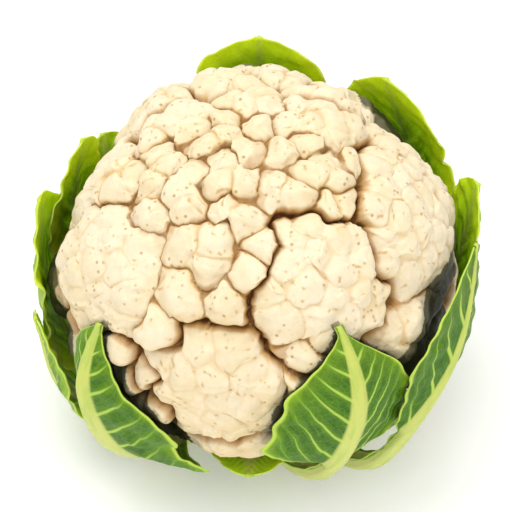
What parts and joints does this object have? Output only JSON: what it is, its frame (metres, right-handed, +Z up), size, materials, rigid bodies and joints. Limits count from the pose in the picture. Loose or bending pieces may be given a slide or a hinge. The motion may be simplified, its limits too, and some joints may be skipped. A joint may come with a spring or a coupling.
{
  "type": "cauliflower",
  "caption": "Whole white cauliflower: a round head of knobbly florets on a cut stem, cupped by veined green wrapper leaves, standing upright.",
  "frame": {"origin": "centre of the stem's flat cut face, on which the head stands", "axes": "+Z up out of the stem through the top of the curd; -Y is the side that faces the viewer in the picture; +X to the viewer's right"},
  "size_m": [0.1869, 0.188, 0.1567],
  "materials": {
    "curd": null,
    "stem": null,
    "leaf": null
  },
  "bodies": {
    "root": {"curd": "curd", "stem": "stem", "leaf_back": "leaf", "leaf_back_left": "leaf", "leaf_back_outer_left": "leaf", "leaf_back_outer_right": "leaf", "leaf_back_right": "leaf", "leaf_front_left": "leaf", "leaf_front_low": "leaf", "leaf_front_right": "leaf", "leaf_left": "leaf", "leaf_left_back": "leaf", "leaf_left_low": "leaf", "leaf_right": "leaf", "leaf_right_back": "leaf", "leaf_right_low": "leaf"}
  },
  "joints": []
}
